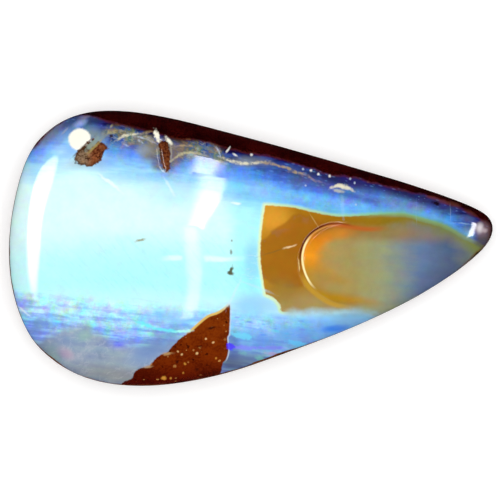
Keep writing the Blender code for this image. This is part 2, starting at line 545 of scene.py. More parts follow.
# %% Spot
spot, ins, outs = new_group(
    "Spot",
    [("Point", "Vector", None), ("Centre", "Vector", None), ("Along", "Vector", (1.0, 0.0, 0.0)),
     ("Across", "Vector", (0.0, 1.0, 0.0)), ("Bow", "Float", 0.0), ("Fray", "Float", 0.0),
     ("Softness", "Float", 0.5)],
    [("Mask", "Float")],
)
off = arrows(spot, "SUBTRACT", ins["Point"], ins["Centre"])
out_along = arrows(spot, "DOT_PRODUCT", off, ins["Along"], result="Value")
out_across = arrows(spot, "DOT_PRODUCT", off, ins["Across"], result="Value")
swell = sums(spot, "SUBTRACT", 1.0, sums(spot, "MULTIPLY", out_along, out_along))
bent = sums(spot, "SUBTRACT", out_across, sums(spot, "MULTIPLY", ins["Bow"], swell))
both_ways = put(spot, "ShaderNodeCombineXYZ", {"X": out_along, "Y": bent}).outputs[0]
radius = sums(spot, "ADD", arrows(spot, "LENGTH", both_ways, result="Value"), ins["Fray"])
inner = sums(spot, "SUBTRACT", 1.0, ins["Softness"])
outer = sums(spot, "ADD", 1.0, ins["Softness"])
fill(spot, outs["Mask"], stepped(spot, radius, inner, outer, 1.0, 0.0))
print("spot group:", len(spot.nodes), "nodes")

# %% [markdown]
# Three more groups draw what opal does by itself. They share one trick: the point is turned and squeezed
# first, so that a round pattern comes out long and slanted. **Streaks** is such a noise, like the layers
# that opal settles in. **Wisps** keeps only the thin line where a noise passes its middle value, which
# looks like a fold of a veil. **Flecks** lights a share of the cells of a Voronoi pattern, each with a tone
# of its own, for play of colour.

# %% Streaks, wisps and flecks
PULLED = [
    ("Point", "Vector", None), ("Along", "Vector", (1.0, 0.0, 0.0)), ("Across", "Vector", (0.0, 1.0, 0.0)),
]


def slant(length, width, turn=0.0):
    """Along and Across for a mark or a pattern of these sizes in mm, turned by so many degrees."""
    cos, sin = math.cos(math.radians(turn)), math.sin(math.radians(turn))
    return {"Along": (cos / length, sin / length, 0.0), "Across": (-sin / width, cos / width, 0.0)}


def pulled_point(tree, ins):
    first = arrows(tree, "DOT_PRODUCT", ins["Point"], ins["Along"], result="Value")
    second = arrows(tree, "DOT_PRODUCT", ins["Point"], ins["Across"], result="Value")
    return put(tree, "ShaderNodeCombineXYZ", {"X": first, "Y": second}).outputs[0]


streaks, ins, outs = new_group("Streaks", PULLED, [("Value", "Float")])
layered = {"Vector": pulled_point(streaks, ins), "Scale": 1.0, "Detail": 4.0, "Roughness": 0.6}
pattern = put(streaks, "ShaderNodeTexNoise", layered, noise_dimensions="2D").outputs["Fac"]
fill(streaks, outs["Value"], stepped(streaks, pattern, 0.28, 0.72))

wisps, ins, outs = new_group("Wisps", PULLED + [("Thin", "Float", 0.03)], [("Mask", "Float")])
folded = {"Vector": pulled_point(wisps, ins), "Scale": 1.0, "Detail": 3.0}
folds = split(wisps, put(wisps, "ShaderNodeTexNoise", folded, noise_dimensions="2D").outputs["Color"])
off_fold = sums(wisps, "ABSOLUTE", sums(wisps, "SUBTRACT", folds[0], 0.5))
thread = stepped(wisps, off_fold, 0.0, ins["Thin"], 1.0, 0.0)
fill(wisps, outs["Mask"], sums(wisps, "MULTIPLY", thread, stepped(wisps, folds[1], 0.42, 0.58)))

flecks, ins, outs = new_group(
    "Flecks", PULLED + [("Share", "Float", 0.4)], [("Mask", "Float"), ("Tone", "Float")]
)
cells = put(flecks, "ShaderNodeTexVoronoi", {"Vector": pulled_point(flecks, ins), "Scale": 1.0},
            voronoi_dimensions="2D")
chance = split(flecks, cells.outputs["Color"])
fleck_size = sums(flecks, "MULTIPLY_ADD", chance[1], 0.40, 0.14)
lit = sums(flecks, "LESS_THAN", chance[0], ins["Share"])
fleck_heart = sums(flecks, "MULTIPLY", fleck_size, 0.2)
glow = stepped(flecks, cells.outputs["Distance"], fleck_heart, fleck_size, 1.0, 0.0)
fill(flecks, outs["Mask"], sums(flecks, "MULTIPLY", glow, lit))
fill(flecks, outs["Tone"], chance[2])
print("groups:", [tree.name for tree in bpy.data.node_groups])

# %% [markdown]
# ## Ironstone
#
# Ironstone is sandstone cemented with iron oxide: fine grains, a few pale quartz grains, small dark pits,
# and soft banding. Both materials need it, the face for the band and the wedge and the back for everything,
# so it is a group too, with its darker and lighter browns as inputs. The quartz comes from two Voronoi
# patterns of different sizes, because real grains are mostly tiny with a larger one here and there.

# %% Ironstone as a group
ironstone, ins, outs = new_group(
    "Ironstone",
    [("Point", "Vector", None), ("Dark", "Color", seen(70, 22, 4)), ("Light", "Color", seen(140, 70, 16)),
     ("Grain Size", "Float", 0.16), ("Quartz", "Float", 0.5), ("Pits", "Float", 0.5)],
    [("Color", "Color"), ("Height", "Float")],
)
QUARTZ = (236, 176, 96)
PIT = (44, 10, 3)
cloud = solid_noise(ironstone, ins["Point"], 0.7, 6.0, 0.62)
finer = arrows(ironstone, "DIVIDE", ins["Point"], ins["Grain Size"])
grain = solid_noise(ironstone, finer, 1.0, 2.0)
tone = sums(ironstone, "MULTIPLY_ADD", cloud, 1.2, sums(ironstone, "MULTIPLY", grain, 0.8))
speckled = lay(ironstone, ins["Dark"], stepped(ironstone, tone, 0.78, 1.22), ins["Light"])
deepest = None
for cell_scale, largest in ((1.3, 0.20), (2.6, 0.24)):
    cells = put(ironstone, "ShaderNodeTexVoronoi", {"Vector": ins["Point"], "Scale": cell_scale})
    chance = split(ironstone, cells.outputs["Color"])
    size = stepped(ironstone, chance[0], 0.30, 1.0, 0.0, largest)
    uneven = sums(ironstone, "SUBTRACT", grain, 0.5)
    ragged = sums(ironstone, "MULTIPLY_ADD", uneven, 0.35, cells.outputs["Distance"])
    fleck = stepped(ironstone, sums(ironstone, "SUBTRACT", ragged, size), -0.05, 0.03, 1.0, 0.0)
    is_quartz = sums(ironstone, "GREATER_THAN", chance[1], 0.5)
    bright = sums(ironstone, "MULTIPLY", sums(ironstone, "MULTIPLY", fleck, is_quartz), chance[2])
    dark = sums(ironstone, "MULTIPLY", fleck, sums(ironstone, "SUBTRACT", 1.0, is_quartz))
    pit = sums(ironstone, "MULTIPLY", dark, ins["Pits"])
    speckled = lay(ironstone, speckled, pit, PIT)
    speckled = lay(ironstone, speckled, sums(ironstone, "MULTIPLY", bright, ins["Quartz"]), QUARTZ)
    deepest = pit if deepest is None else sums(ironstone, "MAXIMUM", deepest, pit)
fill(ironstone, outs["Color"], speckled)
fill(ironstone, outs["Height"], sums(ironstone, "SUBTRACT", grain, deepest))
print("ironstone group:", len(ironstone.nodes), "nodes")

# %% [markdown]
# ## The opal's colours, layer by layer
#
# The material of the face works like a painting in layers. It starts from the point on the stone, in
# millimetres, with its height taken out, and bent slightly by noise so that no mark is ruler-straight. Two
# more noises, one coarse and one fine, are made once and shared by every edge, which keeps the material
# quick. All the textures start from the straight point and only the marks from the bent one: a texture that
# waits for another texture makes all the later marks wait with it, and Cycles has room for some 250 waiting
# values in a material. The words below are the painter's: a zone, a spot, a sliver, and a list of either
# laid over what is there.

# %% The point on the stone
polished_opal = bpy.data.materials.new("polished_opal")
polished_opal.use_nodes = True
opal = polished_opal.node_tree
opal_shader = opal.nodes["Principled BSDF"]
solid_point = point_in_mm(opal)
map_point = arrows(opal, "MULTIPLY", solid_point, (1.0, 1.0, 0.0))


def noise_over(place, size, detail, roughness=0.5, output="Fac"):
    """Noise over the map, in features of about this size in mm."""
    inputs = {"Vector": place, "Scale": 1.0 / size, "Detail": detail, "Roughness": roughness}
    return put(opal, "ShaderNodeTexNoise", inputs, noise_dimensions="2D").outputs[output]


BEND = 0.12
FRAY = 1.3
bend_x, bend_y, _ = split(opal, noise_over(map_point, 0.62, 3.0, output="Color"))
bend = put(opal, "ShaderNodeCombineXYZ", {"X": bend_x, "Y": bend_y, "Z": 0.5}).outputs[0]
bend_off = arrows(opal, "SUBTRACT", bend, (0.5, 0.5, 0.5))
point = arrows(opal, "MULTIPLY_ADD", bend_off, (BEND, BEND, 0.0), map_point)
point_x, point_y = put(opal, "ShaderNodeSeparateXYZ", {0: point}).outputs[:2]
coarse_noise = noise_over(map_point, 0.7, 4.0)
fine_noise = noise_over(map_point, 0.24, 3.0)
fray = sums(opal, "MULTIPLY", sums(opal, "SUBTRACT", fine_noise, 0.5), FRAY)
print("the face's material has its point in mm")

# %% The painter's words
SLIVER_EDGE = 0.06


def times(first, *others):
    for other in others:
        first = sums(opal, "MULTIPLY", first, other)
    return first


def either(first, *others):
    """The mask that is stronger at each point."""
    for other in others:
        first = sums(opal, "MAXIMUM", first, other)
    return first


def less(value, taken):
    return sums(opal, "SUBTRACT", value, taken)


def times_plus(value, factor, more):
    return sums(opal, "MULTIPLY_ADD", value, factor, more)


def rising(value, low, high, first=0.0, last=1.0):
    return stepped(opal, value, low, high, first, last)


def between(place, first, last):
    """A mask that goes from the first to the last as the place goes from 0 to 1."""
    return put(opal, "ShaderNodeMix", {0: place, 2: first, 3: last}).outputs[0]


def over(below, mask, above, blend="MIX"):
    return lay(opal, below, mask, above, blend)


def pattern_of(group, length, width, turn, **values):
    """A pattern group over the map, with features of this length and width in mm and this turn."""
    return use(opal, group, Point=map_point, **slant(length, width, turn), **values)


def stored(name):
    """The stored distance inside a zone, in mm."""
    return put(opal, "ShaderNodeAttribute", attribute_name=name).outputs["Fac"]


def zone(name, wander=0.05, softness=0.05, grow=0.0, edge_noise=fine_noise):
    distance = sums(opal, "ADD", stored(name), grow) if grow else stored(name)
    return use(opal, zone_edge, Distance=distance, Noise=edge_noise, Wander=wander, Softness=softness)[0]


def ring(name, at, half, softness=0.035):
    """A line that runs beside a zone's outline, at a distance inside it."""
    apart = sums(opal, "ABSOLUTE", less(stored(name), at))
    return rising(apart, half - softness, half + softness, 1.0, 0.0)


def spot_at(x, y, half_x, half_y, turn=0.0, softness=0.5, bow=0.0, frayed=0.0):
    return use(opal, spot, Point=point, Centre=(x, y, 0.0), Bow=bow, Fray=frayed, Softness=softness,
               **slant(half_x, half_y, turn))[0]


def sliver(start, end, half, bow=0.0):
    """A thin spot from start to end, bowed by so many mm to the left of its way."""
    middle_x, middle_y = (start[0] + end[0]) / 2, (start[1] + end[1]) / 2
    step_x, step_y = end[0] - start[0], end[1] - start[1]
    turn = math.degrees(math.atan2(step_y, step_x))
    return spot_at(middle_x, middle_y, math.hypot(step_x, step_y) / 2 + half, half, turn,
                   min(SLIVER_EDGE / half, 0.8), bow / half, fray)


def washes(below, rows):
    """Soft spots over a colour. A row is x, y, two half sizes, a turn, a softness, a colour, a strength."""
    for x, y, half_x, half_y, turn, softness, colour, strength in rows:
        below = over(below, times(spot_at(x, y, half_x, half_y, turn, softness), strength), colour)
    return below


def slivers(below, rows, broken_by=None):
    """Slivers over a colour. A row is a start, an end, a half width, a colour, a strength and any bow."""
    for start, end, half, colour, strength, *bow in rows:
        mask = times(sliver(start, end, half, *bow), strength)
        if broken_by:
            mask = times(mask, broken_by)
        below = over(below, mask, colour)
    return below


def dots(below, rows):
    """Small round marks over a colour. A row is x, y, a radius, a colour and a strength."""
    return slivers(below, [((x, y), (x, y), *rest) for x, y, *rest in rows])


print("the painter's words are ready")

# %% [markdown]
# The ground comes first: navy and blue under the dark band, which pale away from it, then the near-white
# heart, the cyan belt and the violet-grey foot of the stone. The heart is partly the opal's own pale colour
# and partly a painted reflection haze of the light overhead. The first gradient runs with the distance from
# the band and the second with the height on the map, and slanted layers of noise shift both.

# %% The ground
layers = pattern_of(streaks, 5.0, 0.9, -4)[0]
layer_shift = less(layers, 0.5)
round_end_shift = rising(point_x, -12.2, -8.5, 1.4, 0.0)
from_band = less(round_end_shift, stored("band"))
under_band = times_plus(layer_shift, 0.7, from_band)
shoulder = ramp(opal, under_band, [
    (-0.1, (20, 4, 36)), (0.2, (18, 16, 84)), (0.5, (52, 68, 142)), (0.8, (74, 106, 182)),
    (1.2, (92, 140, 222)), (1.6, (104, 157, 240)), (2.0, (126, 182, 247)), (2.4, (148, 208, 250)),
    (3.0, (174, 226, 253)), (3.8, (198, 240, 253)), (4.6, (212, 248, 254)),
])
field_place = times_plus(layer_shift, 0.6, point_y)
field = ramp(opal, field_place, [
    (-7.4, (146, 156, 170)), (-6.5, (130, 152, 184)), (-5.9, (132, 162, 208)),
    (-5.4, (132, 174, 228)), (-5.0, (136, 190, 246)), (-4.6, (150, 208, 253)),
    (-4.2, (164, 222, 253)), (-3.8, (182, 236, 254)), (-3.2, (196, 248, 254)),
    (-2.2, (184, 252, 252)), (-0.6, (196, 253, 254)), (0.6, (212, 253, 254)), (5.0, (216, 254, 255)),
])
ground = over(field, rising(under_band, 2.6, 4.6, 1.0, 0.0), shoulder)
past_heart = rising(times_plus(layer_shift, 0.5, point_x), -1.7, -0.4)
above_foot = rising(point_y, -3.4, -2.2)
clear_cyan = times(past_heart, above_foot, 0.5)
CLEAR_CYAN = (160, 244, 255)
ground = over(ground, clear_cyan, CLEAR_CYAN, "MULTIPLY")
print("ground laid")

# %% Washes of colour in the ground
ground = washes(ground, [
    # The first wash whitens the heart: a painted reflection haze of the light overhead, over the opal's pale
    # colour
    (-9.1, 1.6, 4.8, 2.0, 4, 0.6, (222, 255, 255), 0.7),
    # This wash and the fourth pale the left rim: partly the opal's colour, partly painted light through its
    # thin tilted edge
    (-14.5, 1.6, 0.9, 3.6, 0, 0.6, (218, 250, 250), 0.85),
    (-6.5, -1.0, 6.5, 1.7, -3, 0.6, (170, 246, 255), 0.55),
    (-14.3, -2.0, 0.9, 1.8, 0, 0.7, (196, 248, 252), 0.75),
    (0.1, -0.8, 0.45, 1.1, 0, 0.8, (142, 206, 242), 0.7),
    (0.0, -3.6, 1.0, 0.8, 0, 0.7, (142, 207, 250), 0.8),
    (-13.20, -4.81, 0.7, 0.6, 40, 0.8, (104, 132, 222), 0.6),
    (-13.88, -3.47, 0.5, 0.3, -35, 0.8, (160, 186, 250), 0.6),
    (-9.48, -4.99, 0.6, 0.4, 0, 0.8, (132, 170, 248), 0.5),
    (-8.39, -3.88, 0.3, 0.15, 0, 0.8, (206, 196, 244), 0.5),
    (3.80, 4.44, 2.0, 0.42, -13, 0.8, (58, 66, 126), 0.8),
    (5.28, 4.37, 1.6, 0.32, -14, 0.8, (30, 22, 62), 0.75),
    (8.01, 3.63, 2.6, 0.3, -15, 0.8, (36, 38, 98), 0.8),
    (4.42, 3.75, 2.2, 0.4, -13, 0.8, (86, 108, 190), 0.6),
    (4.3, 2.95, 3.2, 0.35, -8, 0.8, (130, 200, 244), 0.6),
    (3.0, -4.75, 3.8, 0.45, 4, 0.8, (128, 198, 251), 0.7),
    (5.25, -4.96, 0.75, 0.18, 5, 0.7, (64, 134, 238), 0.95),
    (-0.05, -6.42, 1.6, 0.5, 3, 0.8, (112, 140, 190), 0.8),
    (-0.67, -7.10, 1.6, 0.6, 0, 0.8, (80, 102, 132), 0.95),
    (-5.76, -5.92, 1.6, 0.55, 32, 0.8, (108, 138, 192), 0.85),
    (-10.90, 7.91, 1.7, 0.6, 26, 0.7, (48, 64, 124), 0.9),
    (-9.79, 7.91, 0.8, 0.35, 14, 0.8, (46, 48, 84), 0.7),
    (13.41, 1.02, 0.36, 0.36, 0, 0.8, (116, 156, 168), 0.6),
    (13.47, 1.83, 0.4, 0.22, -20, 0.8, (88, 88, 112), 0.6),
    (-12.46, 7.04, 0.9, 0.4, 44, 0.8, (112, 112, 142), 0.8),
    (-11.59, 6.98, 0.7, 0.3, 40, 0.8, (118, 150, 212), 0.6),
    (-10.59, 7.72, 0.4, 0.18, 25, 0.8, (158, 184, 236), 0.7),
    (-10.25, 8.16, 0.4, 0.12, 20, 0.8, (150, 130, 166), 0.5),
    (-11.03, 6.05, 0.5, 0.35, 30, 0.8, (130, 178, 250), 0.7),
    (-9.11, 5.30, 1.0, 0.4, 10, 0.8, (128, 178, 236), 0.6),
    (-10.35, 5.30, 0.9, 0.35, 10, 0.8, (150, 176, 196), 0.6),
    (9.50, 2.64, 1.6, 0.45, -14, 0.8, (120, 160, 206), 0.7),
    (8.94, 3.50, 3.2, 0.28, -14, 0.8, (40, 40, 98), 0.6),
    (11.74, 2.64, 1.1, 0.3, -16, 0.8, (52, 50, 90), 0.6),
    (-4.70, 3.57, 1.6, 0.8, 0, 0.8, (182, 230, 250), 0.6),
    (0.57, 3.50, 0.9, 0.6, 0, 0.8, (152, 200, 244), 0.6),
    (7.89, 3.26, 1.6, 0.35, -14, 0.8, (88, 128, 196), 0.5),
])
print("washes laid")

# %% [markdown]
# ## Play of colour
#
# Below the cyan belt the opal lies in thin layers that the cut meets at a low angle. They show as long
# streaks of lavender, blue and turquoise, with flecks of purer colour between them where a layer faces the
# eye. A last layer multiplies the whole ground by a slow noise of its own in red, green and blue, because
# no two square millimetres of opal are the same blue.

# %% Streaks
fine_streaks = pattern_of(streaks, 2.6, 0.34, -6)[0]
broad_streaks = pattern_of(streaks, 5.5, 0.6, -5)[0]
streak_tone = times_plus(fine_streaks, 0.55, times(broad_streaks, 0.45))
streak_colour = ramp(opal, streak_tone, [
    (0.12, (98, 126, 218)), (0.32, (114, 154, 234)), (0.50, (150, 202, 250)),
    (0.68, (176, 236, 253)), (0.90, (142, 246, 250)),
])
lean = times_plus(point_x, 0.10, point_y)
in_belt = rising(times_plus(broad_streaks, 0.9, lean), -5.0, -3.4, 1.0, 0.0)
ground = over(ground, times(in_belt, 0.55), streak_colour)
brush = pattern_of(streaks, 1.3, 0.24, -48)[0]
brushed = times(rising(brush, 0.55, 1.0), spot_at(-5.5, -1.1, 8.0, 1.9, 0, 0.4))
BRUSHED_CYAN = (146, 230, 242)
ground = over(ground, times(brushed, 0.22), BRUSHED_CYAN)
print("streaks laid")

# %% Flecks and mottling
spark = pattern_of(flecks, 0.80, 0.26, -4, Share=0.45)
spark_colour = ramp(opal, spark["Tone"], [
    (0.0, (96, 226, 242)), (0.3, (120, 196, 253)), (0.55, (96, 140, 246)), (0.75, (142, 134, 250)),
    (1.0, (206, 240, 255)),
])
in_foot = times(rising(lean, -3.7, -4.6), rising(lean, -7.2, -6.2))
spark_strength = rising(point_x, -3.0, 0.0, 0.30, 0.75)
ground = over(ground, times(spark["Mask"], in_foot, spark_strength), spark_colour)
near_band = rising(under_band, 3.0, 1.2)
blue_spark = pattern_of(flecks, 0.42, 0.16, -14, Share=0.35)
blue_spark_colour = ramp(opal, blue_spark["Tone"], [
    (0.0, (70, 96, 190)), (0.4, (96, 150, 240)), (0.7, (120, 180, 244)), (1.0, (110, 130, 200)),
])
ground = over(ground, times(blue_spark["Mask"], near_band, 0.25), blue_spark_colour)
veil = pattern_of(wisps, 1.6, 0.42, -7, Thin=0.035)[0]
VEIL_PALE = (206, 238, 255)
in_veil = either(times(in_foot, 0.25), times(spot_at(0.32, -0.40, 0.8, 2.1, 0, 0.6), 0.4))
ground = over(ground, times(veil, in_veil), VEIL_PALE)
slow = noise_over(map_point, 0.9, 5.0, 0.7, "Color")
TWICE = (2.0, 2.0, 2.0, 1.0)
mottle = over(slow, 1.0, TWICE, "MULTIPLY")
mottling = times_plus(either(near_band, in_foot), 0.7, 0.12)
ground = over(ground, mottling, mottle, "MULTIPLY")
print("flecks and mottling laid")

# %% [markdown]
# ## Potch
#
# Potch is opal whose silica spheres never sorted themselves, so it shows no play of colour. At the foot of
# this stone it is grey-lavender and cloudy, with faint green, rose and violet patches where some order
# begins.

# %% Potch
clouds = noise_over(map_point, 1.2, 5.0, 0.65)
potch_colour = ramp(opal, clouds, [
    (0.28, (112, 130, 160)), (0.42, (138, 152, 180)), (0.55, (150, 163, 180)), (0.70, (172, 178, 190)),
])
potch_colour = washes(potch_colour, [
    (-10.37, -5.45, 0.5, 0.28, 10, 0.8, (148, 186, 166), 0.7),
    (-12.27, -6.48, 0.55, 0.32, -40, 0.8, (148, 178, 152), 0.7),
    (-11.48, -6.48, 0.5, 0.3, -35, 0.8, (196, 160, 180), 0.6),
    (-11.22, -5.68, 0.8, 0.3, -10, 0.8, (128, 150, 180), 0.6),
    (-8.05, -5.86, 0.65, 0.35, 0, 0.8, (122, 134, 236), 0.6),
    (-8.14, -5.87, 0.28, 0.17, 0, 0.7, (84, 84, 245), 0.85),
    (-8.30, -6.85, 1.5, 0.45, 0, 0.8, (150, 164, 170), 0.6),
    (-8.18, -7.85, 2.6, 0.5, -8, 0.8, (136, 132, 124), 0.7),
    (-12.52, -6.05, 0.9, 0.5, -40, 0.8, (112, 128, 152), 0.6),
    (-6.25, -6.11, 1.3, 0.7, 30, 0.8, (130, 157, 204), 0.85),
])
potch_mask = zone("potch", 0.16, 0.34, edge_noise=coarse_noise)
ground = over(ground, times(potch_mask, 0.9), potch_colour)
rose_veil = pattern_of(wisps, 0.9, 0.5, 30, Thin=0.05)[0]
POTCH_PALE = (200, 204, 214)
ground = over(ground, times(rose_veil, potch_mask, 0.2), POTCH_PALE)
ground = washes(ground, [
    (-13.20, -4.87, 0.6, 0.4, 35, 0.8, (112, 146, 212), 0.7),
    (-4.70, -4.31, 1.6, 0.45, -4, 0.8, (136, 192, 252), 0.6),
    (-5.63, -5.80, 1.5, 0.55, 32, 0.8, (108, 136, 184), 0.7),
    (-1.10, -6.92, 0.9, 0.6, 0, 0.7, (78, 84, 112), 0.85),
    (-0.24, -6.85, 0.9, 0.5, 0, 0.8, (104, 122, 156), 0.7),
    (-0.30, -5.55, 1.0, 0.6, 0, 0.8, (112, 168, 238), 0.6),
    (-1.10, -5.92, 0.35, 0.8, 0, 0.8, (70, 76, 150), 0.6),
    (2.87, -5.49, 3.4, 0.75, 9, 0.8, (100, 154, 226), 0.75),
    (5.25, -4.96, 0.75, 0.2, 8, 0.7, (44, 122, 236), 0.85),
    (6.59, -4.31, 1.4, 0.5, 14, 0.8, (116, 156, 196), 0.6),
    (1.07, -3.44, 0.9, 0.4, -10, 0.8, (160, 208, 240), 0.6),
])
print("potch laid")

# %% [markdown]
# ## Honey opal
#
# The patch near the tip is clear honey opal over brown. It has a crisp edge with a thin lime fringe on two
# sides, where the blue shines through its thin rim, and a soft edge towards the foot. The lobe is a thicker
# tongue of the same opal. Its round end glows orange round an olive core, which goes to slate blue towards
# the tip.

# %% The patch
patch_colour = ramp(opal, point_x, [
    (0.6, (184, 128, 30)), (2.6, (170, 114, 24)), (5.5, (157, 106, 14)), (9.0, (138, 114, 28)),
    (12.0, (116, 124, 66)),
])
patch_colour = washes(patch_colour, [
    (1.3, 1.9, 1.1, 0.9, 0, 0.7, (220, 154, 48), 0.9),
    (3.3, -3.4, 2.6, 0.7, 0, 0.8, (164, 146, 92), 0.85),
    (7.2, -3.8, 3.0, 0.5, 8, 0.8, (142, 158, 130), 0.8),
])
shade_mask = zone("shade", 0.06, 0.12, edge_noise=coarse_noise)
SHADE_BROWN = (158, 98, 22)
SHADE_GREY = (132, 104, 96)
shade_grey = times(rising(coarse_noise, 0.52, 0.68), ring("shade", 0.22, 0.25, 0.2))
patch_colour = over(patch_colour, times(shade_mask, 0.75), SHADE_BROWN)
patch_colour = over(patch_colour, times(shade_grey, 0.2), SHADE_GREY)
OLIVE_LOW = (150, 120, 50)
patch_colour = over(patch_colour, times(spot_at(1.94, -2.64, 1.0, 0.8, -20, 0.7), 0.6), OLIVE_LOW)
patch_colour = over(patch_colour, 0.18, mottle, "MULTIPLY")
patch_crisp = zone("patch", 0.02, 0.05, grow=-0.04)
patch_soft = zone("patch", 0.10, 0.42, edge_noise=coarse_noise)
patch_thin = zone("patch", 0.04, 0.20, grow=-0.08, edge_noise=coarse_noise)
to_tip = rising(point_x, 6.0, 9.5)
low_side = times(rising(point_y, -2.9, -3.5), rising(point_x, 1.7, 2.6))
patch_upper = between(to_tip, patch_crisp, patch_thin)
patch_mask = between(low_side, patch_upper, patch_soft)
TEAL = (106, 178, 208)
above_patch = times(ring("patch", -0.26, 0.12, 0.16), rising(point_x, 3.0, 6.0))
not_at_tip = rising(point_x, 13.8, 12.4)
ground = over(ground, times(above_patch, not_at_tip, 0.45), TEAL)
fringe_colour = ramp(opal, point_x, [
    (0.6, (234, 244, 176)), (2.0, (200, 234, 168)), (4.0, (184, 218, 150)), (8.0, (128, 202, 150)),
    (11.0, (108, 172, 126)), (13.0, (104, 146, 110)),
])
fringe_crisp = zone("patch", 0.02, 0.12, grow=0.11)
fringe_thin = zone("patch", 0.02, 0.14, grow=0.13)
fringe = between(to_tip, fringe_crisp, fringe_thin)
round_patch = times(less(1.0, low_side), rising(point_x, 14.0, 12.6, 0.0, 0.9))
ground = over(ground, times(fringe, round_patch), fringe_colour)
ground = over(ground, patch_mask, patch_colour)
LIME = (142, 152, 54)
lime_rim = times(ring("patch", 0.04, 0.08, 0.08), to_tip)
ground = over(ground, times(lime_rim, 0.4), LIME)
print("patch laid")

# %% The lobe
lobe_place = times_plus(layer_shift, 0.6, point_x)
core_colour = ramp(opal, lobe_place, [
    (4.2, (180, 144, 72)), (5.2, (170, 146, 84)), (6.2, (162, 146, 88)), (8.0, (150, 154, 116)),
    (9.4, (122, 138, 142)), (10.5, (98, 120, 156)), (12.4, (78, 96, 128)), (13.4, (112, 122, 106)),
])
crescent_colour = ramp(opal, point_y, [
    (-3.0, (160, 120, 28)), (-1.6, (186, 134, 40)), (-0.4, (236, 150, 32)), (0.6, (214, 124, 24)),
    (1.2, (160, 90, 18)),
])
outside_core = less(1.0, zone("core", 0.10, 0.42, edge_noise=coarse_noise))
crescent = times(rising(point_x, 7.2, 5.2), outside_core)
lobe_colour = over(core_colour, crescent, crescent_colour)
lobe_colour = washes(lobe_colour, [
    (4.6, -2.0, 0.9, 0.6, -20, 0.8, (166, 138, 74), 0.85),
    (5.2, -3.05, 2.4, 0.28, -8, 0.8, (184, 134, 22), 0.7),
    (12.2, -1.3, 2.6, 0.6, 36, 0.9, (84, 92, 120), 0.5),
    (8.01, 1.02, 3.8, 0.5, -3, 0.8, (148, 116, 56), 0.8),
    (5.28, 0.90, 1.0, 0.35, 10, 0.8, (214, 132, 34), 0.7),
    (5.72, -2.51, 1.0, 0.35, -5, 0.8, (164, 150, 92), 0.7),
])
lobe_crisp = zone("lobe", 0.01, 0.05)
lobe_soft = zone("lobe", 0.10, 0.45, edge_noise=coarse_noise)
lobe_tail = rising(point_x, 4.6, 6.4)
lobe_colour = over(lobe_colour, 0.2, mottle, "MULTIPLY")
lobe_mask = between(lobe_tail, lobe_crisp, lobe_soft)
ground = over(ground, lobe_mask, lobe_colour)
print("lobe laid")

# %% [markdown]
# The lobe's rim has a painted highlight on its inner side, where the ledge catches light, and a painted
# shadow outside it, a dark red line where the ledge ends. Both are rings, which the stored distance gives at
# once: a ring is where the distance is close to one value. A spot keeps each ring to the stretch where it
# shows.

# %% The lobe's rim
# Each part of the rim is a distance inside the lobe, a half width, a softness, where it shows, a colour, a
# strength
RIM = [
    (-0.16, 0.15, 0.10, (4.4, -2.75, 1.7, 0.75, -28, 0.4), (196, 152, 48), 0.85),
    # Painted shadow outside the ledge, where it ends
    (-0.07, 0.06, 0.04, (4.4, 0.65, 2.1, 0.95, 36, 0.3), (84, 20, 6), 0.95),
    (0.05, 0.045, 0.035, (4.3, 1.0, 1.3, 0.7, 30, 0.35), (246, 180, 100), 0.45),
    # Painted highlight on the rim's inner side, where the ledge catches light
    (0.07, 0.06, 0.04, (3.05, -0.8, 1.1, 1.7, 8, 0.35), (255, 240, 176), 1.0),
    (0.02, 0.13, 0.12, (6.4, 1.3, 1.6, 0.5, -4, 0.5), (190, 92, 36), 0.8),
]
for at, half, softness, where, colour, strength in RIM:
    stretch = times(ring("lobe", at, half, softness), spot_at(*where), strength)
    ground = over(ground, stretch, colour)
print("rim laid")

# %% [markdown]
# ## The vein of clear opal and its fibres
#
# Under the dark band the opal is clear enough to see into. Olive and slate tones lie deep in it, crossed by
# pale fibres, and a tan thread runs on from it towards the tip.

# %% The vein
deep = noise_over(map_point, 0.8, 4.0, 0.65)
vein_colour = ramp(opal, deep, [
    (0.30, (36, 48, 110)), (0.43, (66, 98, 160)), (0.51, (96, 108, 104)), (0.60, (136, 126, 94)),
    (0.74, (158, 168, 176)),
])
vein_colour = over(vein_colour, 0.8, mottle, "MULTIPLY")
vein_mask = zone("vein", 0.16, 0.30, edge_noise=coarse_noise)
ground = over(ground, times(vein_mask, 0.85), vein_colour)
FIBRE_CREAM = (236, 230, 200)
FIBRE_OLIVE = (172, 166, 116)
FIBRE_MIST = (192, 206, 226)
FIBRE_TAN = (180, 156, 116)
FIBRE_SAND = (196, 188, 146)
vein_veil = pattern_of(wisps, 0.8, 0.22, -20, Thin=0.05)[0]
ground = over(ground, times(vein_veil, vein_mask, 0.35), FIBRE_SAND)
ground = washes(ground, [
    (-6.25, 5.99, 0.55, 0.6, 0, 0.8, (136, 126, 96), 0.7),
    (-4.64, 5.99, 0.5, 0.6, 0, 0.8, (120, 104, 92), 0.7),
    (-5.45, 5.30, 0.6, 0.35, 0, 0.8, (100, 86, 104), 0.6),
    (-4.58, 6.98, 0.75, 0.36, -12, 0.7, (20, 2, 8), 0.9),
    (-1.17, 6.17, 0.9, 0.22, -14, 0.8, (30, 12, 34), 0.7),
    (-0.36, 5.37, 0.7, 0.28, -3, 0.8, (146, 158, 168), 0.6),
    (0.69, 5.37, 0.6, 0.25, -8, 0.8, (116, 126, 134), 0.5),
    (-6.69, 6.11, 0.45, 0.3, 0, 0.8, (160, 176, 184), 0.5),
])
broken = rising(noise_over(map_point, 0.30, 3.0, 0.7), 0.36, 0.56, 0.25, 1.0)
